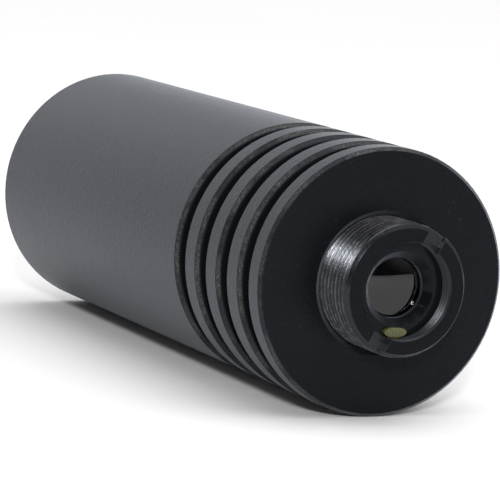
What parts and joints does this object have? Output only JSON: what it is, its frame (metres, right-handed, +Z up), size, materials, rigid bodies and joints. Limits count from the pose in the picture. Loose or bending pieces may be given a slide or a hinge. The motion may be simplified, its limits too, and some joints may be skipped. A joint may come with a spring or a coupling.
{
  "type": "laser collimator",
  "caption": "Cylindrical black anodised laser module with cooling grooves and a threaded, focusable collimating lens barrel in its front face.",
  "frame": {"origin": "on the optical axis, half way along the plain cylindrical clamp barrel", "axes": "+X along the beam, out of the lens; +Z up, square to the driver board's component side; +Y sideways"},
  "size_m": [0.0503, 0.018, 0.018],
  "materials": {
    "black_anodised": "satin bead-blasted black anodise",
    "black_anodised_rear": "satin black anodise",
    "black_anodised_barrel": "satin black anodise, machined",
    "black_ring": "satin black anodise, machined",
    "brass": "turned",
    "bare_aluminium": "turned",
    "spring_steel": "drawn wire",
    "washer_steel": "stamped",
    "gold_plate": "gold plate",
    "seal_glass": "glass seal",
    "nickel_plate": "nickel plate",
    "window_glass": "clear glass",
    "laser_chip": "semiconductor",
    "board_laminate": "solder mask",
    "black_epoxy": "moulded epoxy",
    "tin_plate": "tinned",
    "resistor_black": "fired film",
    "capacitor_ceramic": "ceramic",
    "tantalum_epoxy": "moulded epoxy",
    "ferrite": "ferrite",
    "trimmer_plastic": "moulded",
    "trimmer_brass": "turned",
    "copper_pad": "bare copper",
    "black_rubber": "matt rubber",
    "yellow_adhesive": "cured adhesive",
    "lens_glass": "coated optical glass"
  },
  "bodies": {
    "housing": {"housing": "black_anodised", "front_cap": "black_anodised", "diode_block": "brass", "diode_clamp_ring": "brass", "block_retaining_ring": "bare_aluminium", "focus_spring": "spring_steel", "laser_diode_header": "gold_plate", "pin_glass_seals": "seal_glass", "laser_diode_pins": "gold_plate", "laser_diode_can": "nickel_plate", "laser_diode_window": "window_glass", "laser_diode_submount": "gold_plate", "laser_diode_chip": "laser_chip", "driver_board": "board_laminate", "driver_ic": "black_epoxy", "driver_ic_leads": "tin_plate", "sense_resistors": "resistor_black", "ceramic_capacitors": "capacitor_ceramic", "tantalum_capacitor": "tantalum_epoxy", "inductor": "ferrite", "protection_diode": "black_epoxy", "trim_pot_body": "trimmer_plastic", "solder_joints": "tin_plate", "supply_pads": "copper_pad", "rear_cap": "black_anodised_rear", "cable_grommet": "black_rubber"},
    "focus_slider": {"thrust_washer": "washer_steel"},
    "focus_screw": {"lens_barrel": "black_anodised_barrel", "lens_retaining_ring": "black_ring", "lens_adhesive": "yellow_adhesive", "collimating_lens": "lens_glass", "lens_o_ring": "black_rubber"},
    "trim_screw": {"trim_pot_screw": "trimmer_brass"}
  },
  "joints": [
    {"name": "focus_advance", "type": "slide", "parent": "housing", "child": "focus_slider", "axis": [1, 0, 0], "range_m": [-0.001, 0.001], "deforming": ["focus_spring"]},
    {"name": "focus_turn", "type": "hinge", "parent": "focus_slider", "child": "focus_screw", "pos_m": [0.0235, 0, 0], "axis": [1, 0, 0], "range_deg": [-720.01, 720.01]},
    {"name": "trim_turn", "type": "hinge", "parent": "housing", "child": "trim_screw", "pos_m": [-0.00078, 0.0033, 0.0018], "axis": [0, 0, 1], "range_deg": [-130, 130]}
  ],
  "couplings": [
    {"joint": "focus_turn", "follows": "focus_advance", "rad_per_m": 12566}
  ]
}
